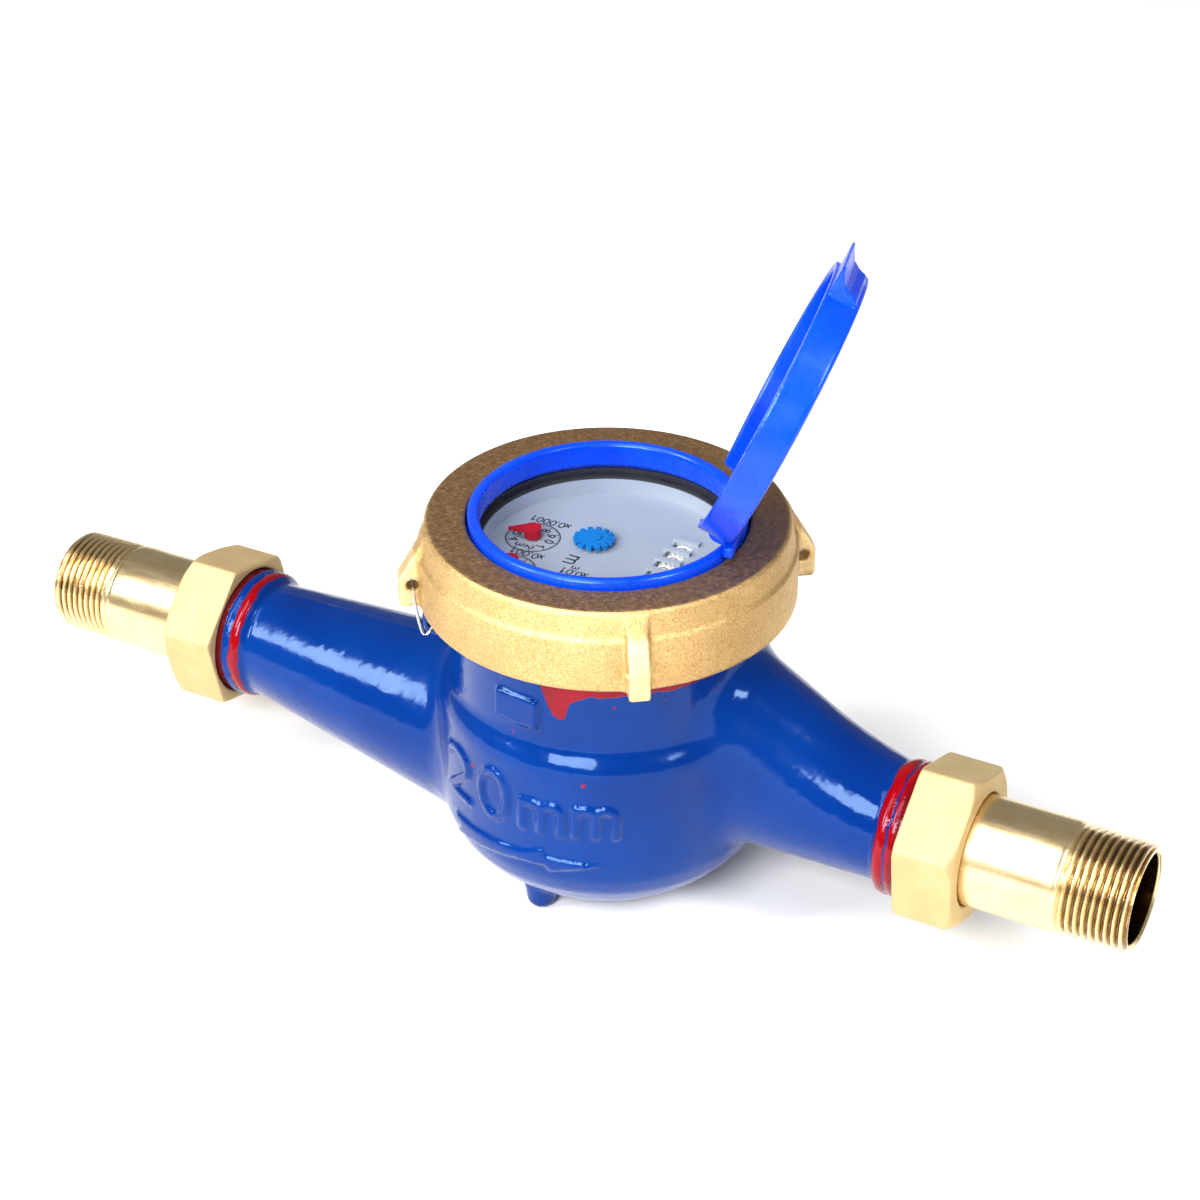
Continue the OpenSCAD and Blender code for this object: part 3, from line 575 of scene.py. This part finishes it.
# ------------------------------------------------------------------ brass ring
ring_prof = Turned((0, 0, 0), (0, 0, 1), [(33.7, ZT - 4), (33.7, ZT - 0.3), (34.0, ZT), (42.7, ZT), (43.4, ZT - 0.7), (44.5, ZT - 6.1), (45.3, ZT - 7.0), (45.4, 84.6),
                   (44.8, 83.9), (40.3, 83.9), (40.3, ZT - 4)], 0.25, 0.1)
lug_prof = Table([(41, 84.1), (49.5, 84.1), (50.1, 84.7), (50.1, ZT - 12.4), (49.6, ZT - 11.4), (43.8, ZT - 1.6), (41, ZT - 1.2)], 0.3, False, 0.1)


def ring_at(X, Y, Z):
    d = ring_prof(X, Y, Z)
    for k in range(4):
        a = math.radians(36 + 90 * k)
        c, s = math.cos(a), math.sin(a)
        u, w = X * c + Y * s, -X * s + Y * c
        lug = smax(lug_prof(u, Z), np.abs(w) - 2.5, 0.7)
        lug = smax(lug, 41.5 - u, 0.3)
        d = smin(d, lug, 1.3)
        d = smax(d, 1.5 - np.hypot(u - 46.9, Z - 90.0), 0.4)
    return d


ring = surface("ring_casting", ring_at, (-53, -53, 83), (53, 53, 105.5), 0.6)
ring.data.set_sharp_from_angle(angle=math.radians(70))
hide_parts("top_ring")
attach(ring, "meter")

# ------------------------------------------------------------------ cover ring and lid
HD = math.radians(14)
HO, HZ = 29.5, ZT + 7.5
HC, HS = math.cos(HD), math.sin(HD)
cover_prof = Turned((0, 0, 0), (0, 0, 1), [(32, 98.65), (39.5, 98.65), (39.5, ZT - 4.1), (33.2, ZT - 4.1), (33.2, ZT + 1.1), (32.8, ZT + 1.75), (32.2, ZT + 2),
                    (31.5, ZT + 2), (30.9, ZT + 1.75), (30.5, ZT + 1.1), (30.5, ZT - 4.15), (32, ZT - 4.15)], 0.2, 0.1)


def cover_at(X, Y, Z):
    d = cover_prof(X, Y, Z)
    u, w, h = X * HC + Y * HS - HO, -X * HS + Y * HC, Z - HZ
    knuckle = smax(np.hypot(u, h) - 2.4, np.abs(w) - 8.0, 0.3)
    post = rbox(u, w, h + 3.3, 2.4, 8.0, 3.3, 0.25)
    rail = rbox(u - 2.3, w, h + 5.25, 1.1, 14.6, 1.35, 0.25)
    d = smin(d, np.minimum(smin(knuckle, post, 0.3), rail), 0.5)
    return smax(d, 1.02 - np.hypot(u, h), 0.15)


cover = surface("cover_moulding", cover_at, (-41, -41, 97.5), (41, 41, 115.2), 0.5)
cover.data.set_sharp_from_angle(angle=math.radians(50))
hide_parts("cover_ring")
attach(cover, "meter")

LR = 33.8
tab_shape = Table([(-32.8, 2.2), (-34.6, 1.6), (-35.3, -0.4), (-36.6, -2.2), (-39.0, -3.5), (-40.8, -4.1), (-40.4, -4.6), (-32.8, -4.6)], 0.15, False, 0.1)


def lid_at(X, Y, Z):
    """In the lid's own frame: hinge axis on y, lid shut."""
    r = np.hypot(X + HO, Y)
    dome = np.sqrt((X + HO) ** 2 + Y ** 2 + (Z - 4.8 + 320) ** 2) - 320
    d = smax(smax(r - LR, -5.1 - Z, 0.3), dome, 0.9)
    d = smax(d, -np.maximum(r - (LR - 2.0), Z - 1.9), 0.5)
    tab = smax(tab_shape(X + HO, Z), np.abs(Y) - 7.0, 0.5)
    d = smin(d, tab, 0.6)
    d = smax(d, X - 2.4, 0.25)
    d = smax(d, -np.maximum(-X, Z - 1.9), 0.2)
    d = smax(d, -np.maximum(-3.3 - X, np.abs(Y) - 8.5), 0.25)
    w = np.abs(Y) - 11.75
    k = smax(np.hypot(X, Z) - 2.4, np.abs(w) - 3.25, 0.3)
    d = smin(d, smin(k, rbox(X, w, Z - 1.25, 2.4, 3.25, 1.25, 0.2), 0.2), 0.3)
    return smax(d, 1.05 - np.hypot(X, Z), 0.15)


lid = surface("lid_moulding", lid_at, (-74, -36, -6.5), (4.5, 36, 7), 0.5, (0.0, 0.0, 0.0))
turn = Matrix.Translation(((HO * HC + XS) * MM, HO * HS * MM, (HZ + ZS) * MM)) @ Matrix.Rotation(HD, 4, "Z") @ Matrix.Rotation(math.radians(114), 4, "Y")
lid.data.transform(turn)
lid.data.update()
lid.data.set_sharp_from_angle(angle=math.radians(50))
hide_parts("lid")
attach(lid, "cover_lid")

# ------------------------------------------------------------------ printing
DZ = 92.5
pr = Print()
flat = lambda p: (p[1], -p[0], DZ + 0.03)          # reads from the outlet side: right is -y, up is +x


def pol(r, a):
    return (r * math.cos(math.radians(a)), r * math.sin(math.radians(a)))


for c, size, label in (((10.512, -16.498), 4.8, "x0.1"), ((-3.988, -17.998), 5.9, "x0.01"), ((-17.988, -15.498), 5.9, "x0.001"), ((-19.988, -0.698), 6.6, "x0.0001")):
    o = (-c[1], c[0])
    pr.stroke(arc(o[0], o[1], size, size, 0, 360, 72), 0.3, flat)
    for i in range(50):
        t = math.radians(90 - i * 7.2)
        r0 = size - (1.1 if i % 5 == 0 else 0.6)
        pr.stroke([(o[0] + r0 * math.cos(t), o[1] + r0 * math.sin(t)), (o[0] + size * math.cos(t), o[1] + size * math.sin(t))], 0.26 if i % 5 == 0 else 0.16, flat, 1)
    for i in range(10):
        t = math.radians(90 - i * 36)
        pr.text(str(i), (o[0] + (size - 2.2) * math.cos(t), o[1] + (size - 2.2) * math.sin(t)), 0.3 * size, 0.06 * size, flat)
    pr.text(label, (0, 0), 2.2, 0.38, lambda p, q=(o[0] - size - 1.6, o[1] + 0.5): flat((q[0] + p[1], q[1] - p[0])))
pr.text("m", (5.4, -6.2), 4.0, 0.5, flat)
pr.text("3", (8.2, -4.4), 1.8, 0.32, flat)
dial_print = pr.make("dial_print")
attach(dial_print, "meter")

drum_prints = []
for k in range(1, 6):
    pr = Print()
    yc = -8.4 + 5 * (k - 1)
    for n in range(10):
        ph0 = math.radians(36 * n)

        def wrap(p, ph0=ph0, yc=yc):
            t = ph0 + p[1] / 4.2
            return (14 + 4.225 * math.sin(t), yc - p[0], 87.9 + 4.225 * math.cos(t))

        pr.text(str(n), (0, 0), 2.0, 0.34, wrap)
    ob = pr.make("drum_figures_%d" % k)
    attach(ob, "drum_%d_set" % k)
    drum_prints.append(ob)

# ------------------------------------------------------------------ materials
class Mat:
    def __init__(self, name):
        self.m = bpy.data.materials.new(name)
        self.m.use_nodes = True
        self.t = self.m.node_tree
        self.b = self.t.nodes["Principled BSDF"]
        self.co = self.t.nodes.new("ShaderNodeTexCoord").outputs["Object"]

    def set(self, **kw):
        for k, v in kw.items():
            s = self.b.inputs[k.replace("_", " ")]
            s.default_value = (*v, 1.0) if isinstance(v, tuple) and len(v) == 3 and s.type == "RGBA" else v
        return self

    def link(self, a, b):
        self.t.links.new(a, b)

    def noise(self, scale, detail=3.0, rough=0.55, vec=None, stretch=None):
        n = self.t.nodes.new("ShaderNodeTexNoise")
        n.inputs["Scale"].default_value = scale
        n.inputs["Detail"].default_value = detail
        n.inputs["Roughness"].default_value = rough
        v = vec or self.co
        if stretch:
            q = self.t.nodes.new("ShaderNodeMapping")
            q.inputs["Scale"].default_value = stretch
            self.link(v, q.inputs["Vector"])
            v = q.outputs["Vector"]
        self.link(v, n.inputs["Vector"])
        return n.outputs["Fac"]

    def ramp(self, fac, stops):
        r = self.t.nodes.new("ShaderNodeValToRGB")
        e = r.color_ramp.elements
        while len(e) < len(stops):
            e.new(0.5)
        for i, (p, c) in enumerate(stops):
            e[i].position = p
            e[i].color = (*c, 1.0) if isinstance(c, tuple) else (c, c, c, 1.0)
        self.link(fac, r.inputs["Fac"])
        return r.outputs["Color"]

    def mix(self, fac, a, b):
        n = self.t.nodes.new("ShaderNodeMix")
        n.data_type = "RGBA"
        for s, v in ((n.inputs["Factor"], fac), (n.inputs["A"], a), (n.inputs["B"], b)):
            pass
        ins = {i.identifier: i for i in n.inputs}
        for key, v in (("Factor_Float", fac), ("A_Color", a), ("B_Color", b)):
            if hasattr(v, "is_linked"):
                self.link(v, ins[key])
            elif isinstance(v, tuple):
                ins[key].default_value = (*v, 1.0)
            else:
                ins[key].default_value = v
        return {o.identifier: o for o in n.outputs}["Result_Color"]

    def math(self, op, a, b=0.0, c=None, clamp=False):
        n = self.t.nodes.new("ShaderNodeMath")
        n.operation = op
        n.use_clamp = clamp
        for i, v in enumerate((a, b, c)):
            if v is None:
                continue
            if hasattr(v, "is_linked"):
                self.link(v, n.inputs[i])
            else:
                n.inputs[i].default_value = v
        return n.outputs[0]

    def attr(self, name):
        n = self.t.nodes.new("ShaderNodeAttribute")
        n.attribute_name = name
        return n.outputs["Fac"]

    def xyz(self):
        n = self.t.nodes.new("ShaderNodeSeparateXYZ")
        self.link(self.co, n.inputs[0])
        return n.outputs

    def bump(self, height, strength, dist, after=None):
        n = self.t.nodes.new("ShaderNodeBump")
        n.inputs["Strength"].default_value = strength
        n.inputs["Distance"].default_value = dist
        self.link(height, n.inputs["Height"])
        if after is not None:
            self.link(after, n.inputs["Normal"])
        return n.outputs["Normal"]

    def colour(self, s):
        self.link(s, self.b.inputs["Base Color"])
        return self

    def rough(self, s):
        self.link(s, self.b.inputs["Roughness"])
        return self

    def normal(self, s):
        self.link(s, self.b.inputs["Normal"])
        return self


def paint():
    m = Mat("gloss_paint").set(IOR=1.36, Coat_Weight=0.0, Specular_Tint=(0.45, 0.7, 1.0))
    blue = m.ramp(m.noise(28, 4), [(0.35, (0.0, 0.016, 0.13)), (0.62, (0.0, 0.024, 0.165))])
    wob = m.math("MULTIPLY_ADD", m.noise(900, 2), 1.1, -0.55)
    mask = m.math("ADD", m.attr("red"), wob)
    mask = m.math("MULTIPLY_ADD", mask, 4.0, 0.5, True)
    x, y, z = m.xyz()
    xw = m.math("ADD", x, m.math("MULTIPLY_ADD", m.noise(210, 3), 0.0022, -0.0011))
    near = m.math("MULTIPLY_ADD", xw, 62.5, 0.099 * 62.5)            # 0 to 1 over 16 mm from the inlet face
    far = m.math("MULTIPLY_ADD", xw, -62.5, 0.099 * 62.5)            # 0 to 1 over 16 mm from the outlet face
    band_in = m.ramp(near, [(0.0, 1.0), (0.36, 1.0), (0.375, 0.0), (0.5, 0.0), (0.52, 1.0), (0.655, 1.0), (0.68, 0.0)])
    band_out = m.ramp(far, [(0.0, 1.0), (0.445, 1.0), (0.455, 0.0), (0.482, 0.0), (0.492, 1.0), (0.655, 1.0), (0.675, 0.0)])
    # painted shade: the paint turns near-black red for about 5 mm from each arm face, beside the nuts
    nut_shade_in = m.ramp(m.math("MULTIPLY_ADD", x, 62.5, 0.099 * 62.5), [(0.0, 1.0), (0.345, 1.0), (0.37, 0.0)])
    nut_shade_out = m.ramp(m.math("MULTIPLY_ADD", x, -62.5, 0.099 * 62.5), [(0.0, 1.0), (0.30, 1.0), (0.40, 0.0)])
    mask = m.math("MAXIMUM", mask, m.math("MAXIMUM", band_in, band_out))
    redc = m.ramp(m.noise(160, 3), [(0.3, (0.15, 0.0, 0.0)), (0.7, (0.24, 0.0, 0.001))])
    c = m.mix(mask, blue, redc)
    # mixes in the painted shade beside the nuts at 85 %
    c = m.mix(m.math("MULTIPLY", m.math("MAXIMUM", nut_shade_in, nut_shade_out), 0.85), c, (0.05, 0.003, 0.005))
    m.colour(c)
    m.rough(m.ramp(m.noise(60, 3), [(0.3, 0.08), (0.7, 0.17)]))
    n1 = m.bump(m.noise(300, 1.5), 0.22, 0.0005)
    n2 = m.bump(m.noise(90, 2), 0.22, 0.0006, n1)
    n3 = m.bump(mask, 0.5, 0.0002, n2)
    return m.normal(n3).m


def brass(name, a, b, lines, lo=0.2, hi=0.36, marks=0.12, threaded=False):
    m = Mat(name).set(Metallic=1.0)
    n = m.noise(140, 4)
    col = m.ramp(n, [(0.3, a), (0.7, b)])
    if threaded:
        # painted shade: thread valleys and the water way are coloured dark brown where shade falls
        x, y, z = m.xyz()
        zc = m.math("ADD", z, -0.036)
        r = m.math("SQRT", m.math("ADD", m.math("MULTIPLY", y, y), m.math("MULTIPLY", zc, zc)))
        rim = m.math("MULTIPLY_ADD", m.math("ABSOLUTE", x), -4000.0, 0.1491 * 4000.0, True)
        valley_shade = m.math("MULTIPLY", m.math("MULTIPLY_ADD", r, -1500.0, 0.0128 * 1500.0, True), m.math("MULTIPLY", rim, 0.85))
        bore_shade = m.math("MULTIPLY_ADD", r, -8000.0, 0.0112 * 8000.0, True)
        shade_brown = m.ramp(m.noise(260, 3), [(0.3, (0.05, 0.018, 0.004)), (0.7, (0.11, 0.045, 0.012))])
        col = m.mix(m.math("MAXIMUM", valley_shade, bore_shade), col, shade_brown)
    m.colour(col)
    m.rough(m.ramp(m.noise(420, 3, 0.6, stretch=lines), [(0.25, lo), (0.75, hi)]))
    n1 = m.bump(m.noise(700, 3, 0.6, stretch=lines), marks, 0.0002)
    return m.normal(m.bump(m.noise(60, 2), 0.06, 0.0006, n1)).m


def cast():
    m = Mat("sand_cast_brass").set(Metallic=1.0)
    x, y, z = m.xyz()
    top = m.math("MULTIPLY_ADD", z, 4000.0, -0.09985 * 4000.0, True)
    grain = m.noise(2100, 3, 0.65)
    side = m.ramp(grain, [(0.22, (0.3, 0.17, 0.06)), (0.4, (0.56, 0.37, 0.15)), (0.6, (0.7, 0.49, 0.22)), (0.8, (0.84, 0.65, 0.36))])
    tarn = m.ramp(m.noise(34, 3), [(0.35, (0.78, 0.74, 0.7)), (0.65, (1.0, 1.0, 1.0))])
    mul = m.t.nodes.new("ShaderNodeMix")
    mul.data_type, mul.blend_type = "RGBA", "MULTIPLY"
    ins = {i.identifier: i for i in mul.inputs}
    ins["Factor_Float"].default_value = 1.0
    m.link(side, ins["A_Color"])
    m.link(tarn, ins["B_Color"])
    side = {o.identifier: o for o in mul.outputs}["Result_Color"]
    face = m.ramp(m.noise(1100, 3, 0.6), [(0.25, (0.24, 0.13, 0.06)), (0.5, (0.36, 0.21, 0.1)), (0.8, (0.5, 0.32, 0.17))])
    xr = m.math("ADD", x, -0.011)
    rr = m.math("SQRT", m.math("ADD", m.math("MULTIPLY", xr, xr), m.math("MULTIPLY", y, y)))
    lug = m.math("MULTIPLY_ADD", rr, 1500.0, -0.0459 * 1500.0, True)
    worn = m.ramp(m.noise(500, 3), [(0.3, (0.74, 0.54, 0.26)), (0.7, (0.88, 0.7, 0.4))])
    side = m.mix(m.math("MULTIPLY", lug, 0.75), side, worn)
    m.colour(m.mix(top, side, face))
    m.rough(m.ramp(m.noise(600, 3), [(0.3, 0.42), (0.7, 0.62)]))
    turned = m.math("MULTIPLY", m.math("SINE", m.math("MULTIPLY", rr, 9000.0)), top)
    n1 = m.bump(grain, 0.42, 0.0004)
    n2 = m.bump(turned, 0.12, 0.0002, n1)
    return m.normal(m.bump(m.noise(260, 3), 0.35, 0.0008, n2)).m


def plastic(name, a, b, rough=0.3, **kw):
    m = Mat(name).set(**kw)
    m.colour(m.ramp(m.noise(45, 3), [(0.3, a), (0.7, b)]))
    m.rough(m.ramp(m.noise(300, 3), [(0.3, rough * 0.8), (0.7, rough * 1.25)]))
    n1 = m.bump(m.noise(1200, 2), 0.05, 0.0002)
    return m.normal(m.bump(m.noise(70, 2), 0.12, 0.0006, n1)).m


def metal(name, a, b, rough=0.3):
    m = Mat(name).set(Metallic=1.0)
    m.colour(m.ramp(m.noise(300, 3), [(0.3, a), (0.7, b)]))
    m.rough(m.ramp(m.noise(800, 3), [(0.3, rough * 0.8), (0.7, rough * 1.3)]))
    return m.normal(m.bump(m.noise(1500, 2), 0.08, 0.0001)).m


def clear():
    m = Mat("clear_lens").set(IOR=1.49, Metallic=0.0, Alpha=0.05, Base_Color=(0.05, 0.06, 0.07))
    m.rough(m.ramp(m.noise(200, 3), [(0.3, 0.02), (0.8, 0.06)]))
    return m.m


M = {
    "blue_paint": paint(),
    "polished_brass": brass("polished_brass", (0.74, 0.55, 0.28), (0.84, 0.66, 0.38), (1.0, 0.12, 0.12)),
    "nut_brass": brass("nut_brass", (0.58, 0.44, 0.23), (0.64, 0.5, 0.27), (1.0, 0.3, 0.3), 0.7, 0.76, 0.04),
    "tail_brass": brass("tail_brass", (0.76, 0.57, 0.29), (0.84, 0.66, 0.38), (0.2, 1.0, 1.0), 0.2, 0.32, 0.1, True),
    "cast_brass": cast(),
    "black_rubber": plastic("black_rubber", (0.012, 0.012, 0.013), (0.025, 0.025, 0.026), 0.6),
    "blue_plastic": plastic("blue_plastic", (0.0, 0.03, 0.5), (0.0, 0.055, 0.68), 0.26, Specular_Tint=(0.45, 0.7, 1.0), Subsurface_Weight=0.25, Subsurface_Radius=(0.0005, 0.0015, 0.004), Subsurface_Scale=1.0),
    "steel": metal("steel", (0.55, 0.55, 0.56), (0.68, 0.68, 0.68)),
    "wire": metal("wire", (0.42, 0.43, 0.45), (0.6, 0.6, 0.6), 0.3),
    "clear_glass": clear(),
    "dial_white": plastic("dial_white", (0.30, 0.35, 0.42), (0.34, 0.39, 0.46), 0.45),
    # register case coloured near-black as painted shade in the gap under the glass
    "case_plastic": plastic("case_plastic", (0.01, 0.011, 0.016), (0.018, 0.019, 0.026), 0.35),
    "gear_plastic": plastic("gear_plastic", (0.62, 0.6, 0.52), (0.72, 0.7, 0.62), 0.4),
    "chamber_plastic": plastic("chamber_plastic", (0.55, 0.5, 0.42), (0.64, 0.6, 0.5), 0.4),
    "star_blue": plastic("star_blue", (0.0, 0.14, 0.46), (0.0, 0.19, 0.54), 0.45, Specular_IOR_Level=0.1),
    "pointer_red": plastic("pointer_red", (0.34, 0.0, 0.012), (0.44, 0.001, 0.02), 0.45, Specular_IOR_Level=0.1),
    "drum_white": plastic("drum_white", (0.78, 0.78, 0.76), (0.86, 0.86, 0.84), 0.4),
    "magnet": plastic("magnet", (0.03, 0.03, 0.035), (0.05, 0.05, 0.055), 0.4),
    "bush": plastic("bush", (0.2, 0.02, 0.05), (0.3, 0.04, 0.08), 0.3),
    "print": plastic("print_ink", (0.008, 0.008, 0.01), (0.02, 0.02, 0.025), 0.5),
}
OWN = {
    "inlet_nut": "nut_brass", "outlet_nut": "nut_brass", "inlet_gasket": "black_rubber", "outlet_gasket": "black_rubber",
    "hinge_pin": "steel", "seal_wire": "wire", "glass": "clear_glass", "lens_gasket": "black_rubber", "register_seal": "black_rubber",
    "dial_plate": "dial_white", "register_case": "case_plastic", "pressure_plate": "polished_brass", "lower_plate": "gear_plastic",
    "upper_plate": "gear_plastic", "movement_pillars": "polished_brass", "driven_magnet": "magnet", "driving_magnet": "magnet",
    "star_wheel": "star_blue", "drum_frame": "gear_plastic", "drum_shaft": "steel", "carry_shaft": "steel", "strainer": "chamber_plastic",
    "measuring_chamber": "chamber_plastic", "chamber_cover": "chamber_plastic", "pivot_pin": "steel", "impeller": "drum_white", "impeller_bush": "bush",
}


def paint_on(ob, mat):
    ob.data.materials.clear()
    ob.data.materials.append(mat)


for name, ob in NODES.items():
    if name in OWN:
        key = OWN[name]
    elif name.startswith("pointer_arbor") or name.endswith("_arbor") or name.startswith("idler") or name.startswith("carry_pinion"):
        key = "gear_plastic"
    elif name.startswith("pointer_"):
        key = "pointer_red"
    elif name.startswith("drum_"):
        key = "drum_white"
    else:
        key = {"meter_body": "blue_paint", "inlet_tail": "polished_brass", "outlet_tail": "polished_brass", "top_ring": "cast_brass",
               "cover_ring": "blue_plastic", "lid": "blue_plastic"}[name]
    paint_on(ob, M[key])
for ob in (nut_in, nut_out):
    paint_on(ob, M["nut_brass"])
paint_on(body, M["blue_paint"])
paint_on(ring, M["cast_brass"])
for ob in (cover, lid):
    paint_on(ob, M["blue_plastic"])
for ob in (tail_in, tail_out):
    paint_on(ob, M["tail_brass"])
for ob in [dial_print] + drum_prints:
    paint_on(ob, M["print"])

# ------------------------------------------------------------------ floor and light
bm = bmesh.new()
bmesh.ops.create_grid(bm, x_segments=8, y_segments=8, size=6.0)
me = bpy.data.meshes.new("floor")
bm.to_mesh(me)
bm.free()
floor = bpy.data.objects.new("floor", me)
scene.collection.objects.link(floor)
floor.location = (0, 0, 0)
fm = Mat("floor_white").set(Roughness=0.9, Specular_IOR_Level=0.0)
fm.colour(fm.ramp(fm.noise(3, 2), [(0.3, (0.90, 0.90, 0.90)), (0.7, (0.93, 0.93, 0.93))]))
paint_on(floor, fm.m)

world = bpy.data.worlds.new("studio")
world.use_nodes = True
world.node_tree.nodes["Background"].inputs["Color"].default_value = (1.0, 1.0, 1.0, 1.0)
world.node_tree.nodes["Background"].inputs["Strength"].default_value = 0.3
scene.world = world


def softbox(name, at, aim, sx, sy, power, colour=(1, 1, 1)):
    l = bpy.data.lights.new(name, "AREA")
    l.shape, l.size, l.size_y, l.energy, l.color = "RECTANGLE", sx, sy, power, colour
    o = bpy.data.objects.new(name, l)
    scene.collection.objects.link(o)
    o.location = at
    o.rotation_euler = (Vector(aim) - Vector(at)).to_track_quat("-Z", "Y").to_euler()
    return o


softbox("top_front", (-0.25, -0.55, 1.5), (0, 0, 0.05), 1.0, 0.7, 13)
softbox("key_left", (-0.75, -0.75, 0.85), (-0.02, 0, 0.06), 0.25, 0.6, 12)
softbox("strip_front", (0.05, -0.82, 0.58), (0.07, -0.012, 0.05), 0.48, 0.36, 13.0)
softbox("key_right", (0.95, -0.25, 0.85), (0.04, 0, 0.06), 0.22, 0.55, 10)
